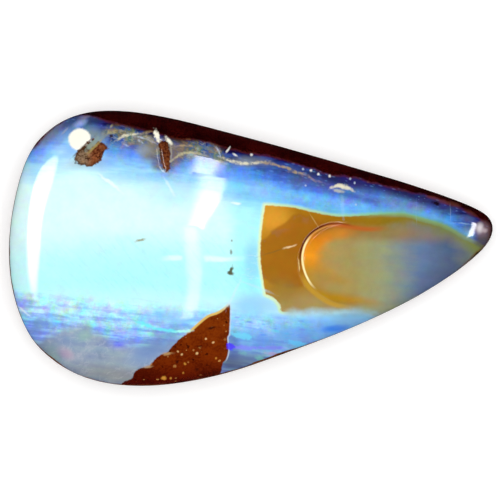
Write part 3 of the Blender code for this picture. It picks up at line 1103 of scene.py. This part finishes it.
ground = slivers(ground, [
    ((-8.90, 7.08), (-8.61, 7.56), 0.056, FIBRE_OLIVE, 0.77),
    ((-8.81, 7.13), (-7.87, 7.26), 0.093, FIBRE_OLIVE, 0.68, 0.05),
    ((-8.26, 6.73), (-7.38, 7.08), 0.079, FIBRE_CREAM, 0.85, 0.06),
    ((-7.62, 7.04), (-7.00, 7.08), 0.051, FIBRE_CREAM, 0.72),
    ((-7.06, 6.92), (-5.94, 6.53), 0.047, FIBRE_MIST, 0.77, 0.05),
    ((-6.90, 6.68), (-6.67, 6.53), 0.047, FIBRE_MIST, 0.59),
    ((-7.78, 6.44), (-7.54, 6.28), 0.051, FIBRE_MIST, 0.59),
    ((-6.75, 7.07), (-5.94, 7.26), 0.074, FIBRE_TAN, 0.64, 0.06),
    ((-4.85, 5.44), (-3.93, 5.90), 0.074, FIBRE_SAND, 0.72, 0.09),
    ((-4.14, 5.91), (-2.75, 5.71), 0.069, FIBRE_SAND, 0.77, 0.09),
    ((-4.70, 6.30), (-3.37, 6.23), 0.051, FIBRE_TAN, 0.68, 0.10),
    ((-3.21, 6.30), (-2.34, 6.05), 0.112, (122, 136, 130), 0.51, 0.03),
    ((-2.22, 6.31), (-1.88, 5.71), 0.051, FIBRE_MIST, 0.68, 0.06),
    ((-1.72, 5.58), (-0.36, 5.28), 0.088, FIBRE_CREAM, 0.77, -0.07),
    ((-0.79, 5.29), (0.69, 5.35), 0.084, FIBRE_CREAM, 0.72, -0.05),
    ((0.57, 5.34), (1.87, 5.07), 0.074, FIBRE_TAN, 0.72, 0.04),
    ((1.63, 5.14), (2.87, 4.68), 0.074, FIBRE_TAN, 0.72, 0.05),
    ((2.56, 4.72), (3.42, 4.58), 0.065, FIBRE_TAN, 0.64, 0.04),
    ((3.18, 4.65), (3.86, 4.25), 0.061, (172, 150, 134), 0.59, 0.03),
    ((3.61, 4.34), (4.42, 4.09), 0.056, (142, 122, 150), 0.55),
], broken)
print("vein laid")

# %% [markdown]
# ## The ironstone in the face
#
# The band along the edge is the boulder itself, nearly black with a red cast. The wedge at the foot is
# lighter and shows its grains, and the opal beside it thins to a gold rim. Two splinters of it lie under
# the band, one across a round white inclusion. All of it is one rock, so its browns are mixed by zone first
# and its grain is made once. Seen from the side, the opal ends near the girdle and the rock goes on below,
# with an uneven seam.

# %% The rock's browns
height_mm = put(opal, "ShaderNodeSeparateXYZ", {0: solid_point}).outputs[2]
seam_noise = solid_noise(opal, solid_point, 0.35, 4.0)
thin_opal = either(rising(point_y, -4.0, -6.5), rising(point_x, -13.2, -14.4))
thin_opal = times(thin_opal, rising(point_x, 8.0, 5.0))
seam_base = times_plus(thin_opal, 0.95, 0.55)
below_seam = less(times_plus(seam_noise, 1.6, seam_base), height_mm)
side_mask = rising(below_seam, -0.04, 0.06)
band_mask = zone("band", 0.07, 0.13, grow=-0.05, edge_noise=coarse_noise)
wedge_mask = zone("wedge", 0.03, 0.04)
inclusion_mask = zone("inclusion", 0.10, 0.06)
splinter_mask = zone("splinter", 0.09, 0.06)
rock_dark = ramp(opal, point_y, [(-8.4, (56, 2, 1)), (-6.6, (92, 26, 2)), (-3.6, (98, 32, 3))])
rock_light = ramp(opal, point_y, [(-8.4, (84, 8, 3)), (-6.6, (120, 44, 4)), (-3.6, (128, 54, 8))])
redder = rising(point_x, -10.3, -9.7)
band_red = rising(times_plus(coarse_noise, 3.0, point_x), -9.8, -12.0)
for mask, dark, light in (
    (inclusion_mask, over((66, 44, 26), redder, (60, 20, 8)),
     over((150, 122, 96), redder, (150, 86, 50))),
    (splinter_mask, (62, 18, 6), (132, 72, 38)),
    (band_mask, over((22, 0, 1), band_red, (66, 22, 14)),
     over((50, 4, 3), band_red, (96, 40, 26))),
    (side_mask, (48, 20, 12), (108, 62, 34)),
):
    rock_dark = over(rock_dark, mask, dark)
    rock_light = over(rock_light, mask, light)
in_splinters = either(inclusion_mask, splinter_mask)
in_band = either(band_mask, side_mask)
quartz = rising(either(in_band, times(in_splinters, 0.5)), 0.0, 1.0, 0.45, 0.0)
pits_shown = rising(in_band, 0.0, 1.0, 0.8, 0.0)
rock = use(opal, ironstone, Point=solid_point, Dark=rock_dark, Light=rock_light, Grain_Size=0.13,
           Quartz=quartz, Pits=pits_shown)["Color"]
WHITE_INCLUSION = (255, 252, 238)
DISC_PLACE = (-10.59, 6.76)
DISC_RADIUS = 0.682
ground = washes(ground, [(-9.85, 6.92, 0.7, 0.55, 0, 0.7, (126, 140, 128), 0.75)])
white_disc = spot_at(*DISC_PLACE, DISC_RADIUS, DISC_RADIUS, softness=0.13, frayed=times(fray, 0.16))
ground = over(ground, white_disc, WHITE_INCLUSION)
dark_rim = either(ring("inclusion", 0.02, 0.12, 0.10), ring("splinter", 0.02, 0.08, 0.07))
RIM_BROWN = (48, 18, 8)
rock = over(rock, times(dark_rim, 0.6), RIM_BROWN)
in_rock = either(in_splinters, wedge_mask, band_mask)
ground = over(ground, in_rock, rock)
print("rock laid")

# %% Rims of the rock, marks in it and a painted reflection haze at the tip
gold_side = times(ring("wedge", -0.03, 0.07, 0.05), spot_at(-2.78, -4.31, 1.45, 0.45, 33, 0.3))
pale_side = times(ring("wedge", -0.03, 0.04, 0.035), spot_at(-1.3, -5.4, 0.4, 2.0, 0, 0.3))
WEDGE_GOLD = (226, 186, 92)
WEDGE_PALE = (200, 210, 220)
ground = over(ground, gold_side, WEDGE_GOLD)
ground = over(ground, times(pale_side, 0.7), WEDGE_PALE)
GRAIN_CREAM = (238, 196, 130)
GRAIN_GOLD = (214, 150, 58)
GRAIN_DARK = (40, 8, 6)
CHIP_CREAM = (250, 246, 226)
ground = slivers(ground, [
    ((-9.54, 6.73), (-10.07, 6.17), 0.149, (146, 164, 150), 0.8),
    ((-9.04, 6.95), (-9.66, 6.61), 0.136, (130, 154, 160), 0.6),
    ((-9.29, 6.67), (-10.01, 5.95), 0.068, (168, 150, 88), 0.8),
    ((-9.85, 6.79), (-10.88, 5.80), 0.056, (84, 46, 16), 0.8),
    ((-5.88, 7.20), (-5.73, 6.76), 0.149, CHIP_CREAM, 1.0),
    ((-5.20, 6.82), (-4.95, 6.51), 0.099, CHIP_CREAM, 0.95),
    ((-4.96, 6.30), (-4.97, 5.49), 0.05, (180, 172, 150), 0.5, 0.04),
    ((-5.38, -6.51), (-4.95, -6.49), 0.087, (190, 150, 96), 0.8),
    ((-6.56, -7.33), (-6.22, -7.29), 0.074, (184, 146, 100), 0.8),
    ((-2.62, -4.96), (-2.27, -4.87), 0.074, GRAIN_DARK, 0.8),
    ((11.39, 2.82), (11.65, 2.76), 0.112, (22, 2, 10), 0.9),
    ((-11.65, 7.10), (-11.36, 7.41), 0.056, (160, 168, 186), 0.6),
])
ground = washes(ground, [
    (11.24, 3.13, 0.36, 0.10, -12, 0.7, (118, 58, 44), 0.4),
    (11.95, 2.88, 0.34, 0.12, -16, 0.7, (112, 58, 44), 0.4),
    (12.60, 2.74, 0.34, 0.12, -18, 0.7, (112, 62, 48), 0.4),
    (13.60, 2.20, 0.36, 0.14, -32, 0.7, (104, 52, 40), 0.4),
    (14.34, 0.59, 0.42, 0.50, -20, 0.7, (82, 76, 76), 0.85),
    # The next three washes are a painted reflection haze, pink-grey and white, beside the highlight at the
    # tip
    (14.31, 1.18, 0.42, 0.40, 0, 0.8, (134, 108, 116), 0.8),
    (14.19, 1.27, 0.18, 0.28, -10, 0.8, (232, 226, 230), 0.75),
    (14.48, 1.12, 0.16, 0.13, 0, 0.8, (196, 180, 186), 0.6),
])
ground = dots(ground, [
    (-8.65, 6.96, 0.105, (40, 30, 34), 0.9),
    (-3.34, -6.49, 0.074, GRAIN_CREAM, 0.9),
    (-2.33, -5.80, 0.068, GRAIN_CREAM, 0.9),
    (-2.78, -5.58, 0.056, GRAIN_CREAM, 0.8),
    (-4.28, -6.54, 0.062, GRAIN_CREAM, 0.8),
    (-4.50, -6.36, 0.05, GRAIN_CREAM, 0.7),
    (-4.06, -7.14, 0.068, GRAIN_GOLD, 0.8),
    (-4.17, -7.70, 0.062, GRAIN_GOLD, 0.7),
    (-2.16, -6.80, 0.062, GRAIN_GOLD, 0.7),
    (-4.95, -8.03, 0.062, GRAIN_GOLD, 0.7),
    (-5.39, -8.01, 0.124, GRAIN_GOLD, 0.9),
    (-4.56, -7.03, 0.099, GRAIN_DARK, 0.8),
    (-3.34, -7.47, 0.093, GRAIN_DARK, 0.7),
])
print("rims and grains laid")

# %% [markdown]
# ## Small marks
#
# The rest are the small things that make a stone this one: chips, specks, flecks of turquoise and violet in
# the foot, a few hairline scratches, and a painted glint on the lobe's rim. Each was read off the stone as a
# start, an end and a width.

# %% Small marks
CHIP_WHITE = (246, 246, 240)
FLECK_TURQUOISE = (110, 232, 244)
FLECK_MINT = (180, 248, 236)
MARK_OLIVE = (90, 95, 70)
NOTCH_GREEN = (214, 236, 200)
ground = slivers(ground, [
    ((-1.46, 5.99), (-1.32, 6.23), 0.05, CHIP_WHITE, 0.8),
    ((-1.03, 5.84), (-0.89, 5.75), 0.05, CHIP_WHITE, 0.8),
    ((5.04, 3.78), (5.78, 3.88), 0.105, FIBRE_CREAM, 0.85, 0.05),
    ((5.60, 3.81), (6.22, 3.63), 0.112, FIBRE_CREAM, 0.85, 0.04),
    ((5.22, 3.63), (5.66, 3.53), 0.099, (190, 190, 172), 0.8, -0.02),
    ((-9.23, 4.44), (-8.11, 3.57), 0.099, (240, 255, 255), 0.75, 0.04),
    ((-5.22, 4.15), (-4.73, 3.29), 0.081, (226, 248, 255), 0.6),
    ((-1.29, -3.32), (-0.73, -2.14), 0.074, (212, 240, 252), 0.5),
    ((-0.57, -2.02), (1.13, -2.70), 0.074, (190, 232, 250), 0.5),
    ((-2.72, 4.25), (1.13, 4.00), 0.056, (120, 170, 236), 0.5, 0.06),
    ((-1.14, 2.82), (-0.71, 2.78), 0.062, (238, 255, 255), 0.9),
    ((-7.00, 0.47), (-6.62, 0.56), 0.068, (150, 140, 92), 0.9),
    ((-1.23, -1.49), (-1.17, -1.18), 0.093, MARK_OLIVE, 1.0),
    ((-1.33, -1.49), (-1.19, -1.51), 0.105, MARK_OLIVE, 1.0),
    ((-1.22, -0.14), (-1.22, -0.30), 0.062, (120, 130, 112), 0.9),
    ((0.76, -0.40), (2.06, -0.01), 0.037, (120, 96, 40), 0.6),
    ((2.15, 0.03), (2.65, 0.19), 0.056, (246, 216, 164), 0.8),
    ((3.69, 2.08), (4.09, 1.43), 0.037, (200, 162, 92), 0.6),
    # A painted glint on the lobe's rim, where its ledge catches light
    ((2.95, -0.78), (3.01, -1.33), 0.037, (250, 228, 156), 0.6),
    ((0.91, -2.88), (1.63, -3.32), 0.056, NOTCH_GREEN, 0.8, 0.05),
    ((1.53, -3.23), (1.81, -3.63), 0.056, NOTCH_GREEN, 0.7, 0.02),
    ((-6.84, -4.63), (-5.84, -4.97), 0.093, FLECK_TURQUOISE, 0.85, 0.03),
    ((-6.00, -4.93), (-4.27, -5.14), 0.099, FLECK_TURQUOISE, 0.85, -0.03),
    ((-4.52, -5.12), (-3.77, -5.08), 0.087, FLECK_MINT, 0.8),
    ((-14.42, -3.62), (-13.81, -4.06), 0.056, (226, 244, 255), 0.8),
    ((-12.39, -3.41), (-11.84, -3.60), 0.081, FLECK_MINT, 0.8),
    ((-12.05, -4.50), (-11.80, -4.50), 0.062, FLECK_TURQUOISE, 0.7),
    ((-7.06, -4.53), (-6.62, -4.58), 0.068, FLECK_TURQUOISE, 0.7),
    ((2.43, -5.77), (3.42, -6.02), 0.161, (104, 200, 248), 0.85),
    ((-1.04, -5.30), (-0.05, -5.49), 0.186, (112, 214, 246), 0.8),
    ((-1.04, -6.11), (0.32, -6.17), 0.136, (132, 128, 250), 0.7),
    ((0.45, -6.14), (2.00, -6.17), 0.124, (128, 122, 248), 0.6),
    ((-1.35, -6.05), (-1.18, -6.12), 0.186, (80, 60, 250), 0.9),
    ((0.38, -6.79), (0.69, -6.83), 0.124, (120, 196, 182), 0.6),
    ((-0.64, -6.48), (-0.33, -6.48), 0.099, (120, 190, 178), 0.5),
    ((1.07, -6.48), (1.56, -6.54), 0.112, (190, 168, 196), 0.6),
    ((10.25, 2.82), (10.27, 1.58), 0.025, (150, 180, 214), 0.2),
    ((12.36, 2.64), (12.37, 1.71), 0.025, (150, 170, 200), 0.28),
    ((12.73, 1.58), (13.60, 1.52), 0.037, (150, 190, 214), 0.45),
    ((5.66, 3.19), (5.72, 2.02), 0.124, (170, 214, 240), 0.2),
])
ground = dots(ground, [
    (0.04, 5.80, 0.074, CHIP_WHITE, 0.8),
    (3.24, 4.92, 0.068, FIBRE_MIST, 0.8),
    (3.72, 4.82, 0.068, CHIP_WHITE, 0.85),
    (4.17, 4.63, 0.068, CHIP_WHITE, 0.85),
    (4.89, 4.50, 0.068, CHIP_WHITE, 0.8),
    (6.15, 4.31, 0.062, FIBRE_MIST, 0.8),
    (6.44, 4.06, 0.056, FIBRE_MIST, 0.8),
    (3.39, 3.88, 0.062, FIBRE_MIST, 0.7),
    (6.53, 2.72, 0.056, FIBRE_MIST, 0.7),
    (-1.18, 0.50, 0.05, MARK_OLIVE, 0.7),
])
final_colour = over(ground, side_mask, rock)
print("marks laid")

# %% [markdown]
# ## The gloss
#
# The polish is a clear coat with a low roughness. Ironstone takes less of a shine, which its lower coat
# weight and rougher base say.

# %% The gloss
OPAL_IOR = 1.45
POLISH = 0.025
unpolished = either(times(band_mask, 0.4), side_mask)
softer_part = either(in_rock, side_mask)
fill(opal, opal_shader.inputs["Base Color"], final_colour)
fill(opal, opal_shader.inputs["Roughness"], rising(softer_part, 0.0, 1.0, 0.22, 0.5))
fill(opal, opal_shader.inputs["Coat Weight"], rising(unpolished, 0.0, 1.0, 1.0, 0.2))
for socket, value in (
    ("Metallic", 0.0), ("IOR", OPAL_IOR), ("Specular IOR Level", 0.0), ("Coat Roughness", POLISH),
    ("Coat IOR", OPAL_IOR),
):
    opal_shader.inputs[socket].default_value = value
print("opal material:", len(opal.nodes), "nodes")

# %% [markdown]
# ## The ironstone back
#
# The back is the same boulder without polish: matt, grainy, in bands that follow the bedding of the
# sandstone. A few hair-thin veins of blue opal cross it, as they do in most boulder opal.

# %% Ironstone back
GRAIN_RELIEF = 0.04
MATT = 0.72
sawn_ironstone = bpy.data.materials.new("sawn_ironstone")
sawn_ironstone.use_nodes = True
back = sawn_ironstone.node_tree
back_shader = back.nodes["Principled BSDF"]
back_point = point_in_mm(back)
bedding = use(back, streaks, Point=back_point, **slant(14.0, 1.3, 12))[0]
bed_dark = lay(back, (58, 24, 10), bedding, (104, 54, 22))
bed_light = lay(back, (96, 50, 22), bedding, (160, 102, 52))
back_stone = use(back, ironstone, Point=back_point, Dark=bed_dark, Light=bed_light, Grain_Size=0.14,
                 Quartz=0.7, Pits=0.8)
vein_noise = solid_noise(back, back_point, 0.22, 3.0)
vein_off = sums(back, "ABSOLUTE", sums(back, "SUBTRACT", vein_noise, 0.5))
hair_vein = stepped(back, vein_off, 0.003, 0.010, 1.0, 0.0)
BACK_VEIN = (84, 120, 170)
back_colour = lay(back, back_stone["Color"], sums(back, "MULTIPLY", hair_vein, 0.8), BACK_VEIN)
grain_relief = {"Height": back_stone["Height"], "Strength": 0.25, "Distance": GRAIN_RELIEF * MM}
fill(back, back_shader.inputs["Base Color"], back_colour)
fill(back, back_shader.inputs["Normal"], put(back, "ShaderNodeBump", grain_relief).outputs[0])
back_shader.inputs["Roughness"].default_value = MATT
back_shader.inputs["Specular IOR Level"].default_value = 0.3
print("back material:", len(back.nodes), "nodes")

# %% [markdown]
# ## Putting the stone together
#
# The mesh gets both materials, and each face chooses by its height: the back material starts on the wall
# where both are ironstone, so no join shows. The stone stands for the solid in the frame and moves with it.

# %% The stone
MATERIAL_JOIN = 0.45
heights = stone_mm[:, 2]
stone_mesh.materials.append(polished_opal)
stone_mesh.materials.append(sawn_ironstone)
for polygon in stone_mesh.polygons:
    polygon.use_smooth = True
    if max(heights[i] for i in polygon.vertices) < MATERIAL_JOIN:
        polygon.material_index = 1
stone = bpy.data.objects.new("boulder_opal_stone", stone_mesh)
bpy.context.scene.collection.objects.link(stone)
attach(stone, "root")
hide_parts("boulder_opal")
print("stone:", len(stone_mesh.polygons), "faces,", len(stone_mesh.attributes), "attributes")

# %% [markdown]
# ## The studio
#
# The stone lies on a plain pale floor and the camera looks straight down on it from far away through a very
# long lens, so that the dome doesn't spread what lies on it. A wide soft light above gives the colours. It
# is kept out of the reflections, where it would veil the dark parts, and hangs above the other lights,
# because a light blocks what lies behind it even where it can't be seen. Narrow boxes make the highlights
# instead: a tall soft one at the left, a long strip in two lengths overhead, and one at the tip.

# %% Camera
FRAME_WIDTH = 31.015  # millimetres that the picture is wide, at the girdle
FRAME_MIDDLE = (-0.05, -0.093)
LENS = 1000.0
SENSOR = 36.0
camera_data = bpy.data.cameras.new("camera")
camera_data.lens = LENS
camera_data.sensor_width = SENSOR
camera_data.clip_start = 0.01
camera_data.clip_end = 10.0
camera = bpy.data.objects.new("camera", camera_data)
camera_height = FRAME_WIDTH * LENS / SENSOR + GIRDLE_HEIGHT
camera.location = (FRAME_MIDDLE[0] * MM, FRAME_MIDDLE[1] * MM, camera_height * MM)
bpy.context.scene.collection.objects.link(camera)
bpy.context.scene.camera = camera
bpy.context.scene.view_settings.view_transform = "Standard"
print("camera height, mm:", round(camera.location.z / MM, 1))

# %% Floor
FLOOR_HALF = 0.6
FLOOR_DROP = 0.00002
FLOOR_GREY = 0.75
FLOOR_GLOW = 0.36  # keeps the paper white round a stone that is lit for its colours
floor_bm = bmesh.new()
bmesh.ops.create_grid(floor_bm, x_segments=1, y_segments=1, size=FLOOR_HALF)
bmesh.ops.translate(floor_bm, verts=floor_bm.verts, vec=(0.0, 0.0, -FLOOR_DROP))
floor_mesh = bpy.data.meshes.new("floor")
floor_bm.to_mesh(floor_mesh)
floor_bm.free()
floor = bpy.data.objects.new("floor", floor_mesh)
bpy.context.scene.collection.objects.link(floor)
floor_paper = bpy.data.materials.new("floor_paper")
floor_paper.use_nodes = True
floor_shader = floor_paper.node_tree.nodes["Principled BSDF"]
for socket, value in (
    ("Base Color", (FLOOR_GREY, FLOOR_GREY, FLOOR_GREY, 1.0)), ("Emission Color", (1.0, 1.0, 1.0, 1.0)),
    ("Emission Strength", FLOOR_GLOW), ("Roughness", 0.9), ("Specular IOR Level", 0.1),
):
    floor_shader.inputs[socket].default_value = value
floor_mesh.materials.append(floor_paper)
floor.visible_glossy = False
print("floor, m:", 2 * FLOOR_HALF)

# %% [markdown]
# A softbox shines less at its edges than in its middle, and a plain area light doesn't. So a highlight's
# light may get a small node tree: the Parametric output says where on the light a point lies, from 0 to 1
# both ways, and a smooth step dims it towards the sides that should fade.

# %% Words for lights
def hung_light(name, place, width, length, brightness, turn=0.0):
    """A rectangular light that faces down, of a given brightness whatever its size."""
    data = bpy.data.lights.new(name, "AREA")
    data.shape = "RECTANGLE"
    data.size = width
    data.size_y = length
    data.energy = brightness * math.pi * width * length
    light = bpy.data.objects.new(name, data)
    light.location = place
    light.rotation_euler = (0.0, 0.0, math.radians(turn))
    light.visible_camera = False
    light.visible_glossy = False
    bpy.context.scene.collection.objects.link(light)
    return light


def highlight(light, left=0.0, right=0.0, ends=0.0, oval=False):
    """Shows a light in reflections alone and fades it over a share of each side or, if oval, all round."""
    light.visible_glossy = True
    light.visible_diffuse = False
    light.data.use_nodes = True
    tree = light.data.node_tree
    on_light = put(tree, "ShaderNodeNewGeometry").outputs["Parametric"]
    across, along = put(tree, "ShaderNodeSeparateXYZ", {0: on_light}).outputs[:2]
    if oval:
        out = [sums(tree, "MULTIPLY_ADD", value, 2.0, -1.0) for value in (across, along)]
        both_ways = put(tree, "ShaderNodeCombineXYZ", {"X": out[0], "Y": out[1]}).outputs[0]
        radius = arrows(tree, "LENGTH", both_ways, result="Value")
        strength = stepped(tree, radius, 1.0, 1.0 - oval)
    else:
        strength = 1.0
        for value, low_fade, high_fade in ((across, left, right), (along, ends, ends)):
            if low_fade:
                strength = sums(tree, "MULTIPLY", strength, stepped(tree, value, 0.0, low_fade))
            if high_fade:
                strength = sums(tree, "MULTIPLY", strength, stepped(tree, value, 1.0, 1.0 - high_fade))
    fill(tree, tree.nodes["Emission"].inputs["Strength"], strength)


print("the light words are ready")

# %% Lights
FILL_HEIGHT = 0.62
FILL_SIZE = 0.87
CEILING = 0.5  # height of the strips, in metres
LEFT_BOX_PLACE = (-0.25, 0.0875, 0.203)
LEFT_BOX_SIZE = (0.425, 0.24)
LEFT_BOX_BRIGHTNESS = 14.0
LEFT_BOX_ROLL = 25  # degrees, as the light at the left stands upright and faces the stone
open_fill = hung_light("open_fill", (0.0, 0.0, FILL_HEIGHT), FILL_SIZE, FILL_SIZE, 1.40)
open_fill.data.use_shadow = False
hung_light("wide_fill", (0.0, 0.0, FILL_HEIGHT - 0.005), FILL_SIZE, FILL_SIZE, 0.34)

left_box = hung_light("left_box", LEFT_BOX_PLACE, *LEFT_BOX_SIZE, LEFT_BOX_BRIGHTNESS)
roll = math.radians(LEFT_BOX_ROLL)
left_box.matrix_world = Matrix((
    (0.0, 0.0, -1.0, left_box.location.x),
    (math.cos(roll), math.sin(roll), 0.0, left_box.location.y),
    (math.sin(roll), -math.cos(roll), 0.0, left_box.location.z),
    (0.0, 0.0, 0.0, 1.0),
))
highlight(left_box, oval=0.34)

# Each strip is its middle and its size as shares of the ceiling's height, its brightness, its turn and its
# fades
STRIPS = {
    "strip_near": (0.134, -0.150, 0.034, 0.46, 7.0, 1.0, {"left": 0.4, "right": 0.3, "ends": 0.03}),
    "strip_middle": (0.183, 0.310, 0.040, 0.50, 14.0, -11.0, {"left": 0.6, "right": 0.12, "ends": 0.02}),
    "strip_far": (0.276, 0.775, 0.044, 0.55, 17.0, -14.0, {"left": 0.5, "right": 0.15, "ends": 0.03}),
    "cross_bar": (0.138, -0.013, 0.150, 0.012, 9.0, 0.0, {"left": 0.25, "right": 0.3}),
    "tip_box": (0.745, 0.155, 0.15, 0.460, 24.0, -9.5, {"left": 0.25, "right": 0.5, "ends": 0.1}),
}
for name, (x, y, width, length, brightness, turn, fades) in STRIPS.items():
    place = (x * CEILING, y * CEILING, CEILING)
    highlight(hung_light(name, place, width * CEILING, length * CEILING, brightness, turn), **fades)

# %% World
SKY_SEEN = 0.69
SKY_LIGHT = 0.44
SKY_GLOSS = 0.01
world = bpy.data.worlds.new("studio")
world.use_nodes = True
sky = world.node_tree
kind_of_ray = put(sky, "ShaderNodeLightPath").outputs
seen_direct = sums(sky, "MULTIPLY", kind_of_ray["Is Camera Ray"], SKY_SEEN)
seen_otherwise = sums(sky, "MULTIPLY_ADD", kind_of_ray["Is Diffuse Ray"], SKY_LIGHT, SKY_GLOSS)
fill(sky, sky.nodes["Background"].inputs["Strength"], sums(sky, "ADD", seen_direct, seen_otherwise))
sky.nodes["Background"].inputs["Color"].default_value = (1.0, 1.0, 1.0, 1.0)
bpy.context.scene.world = world
print("world set")
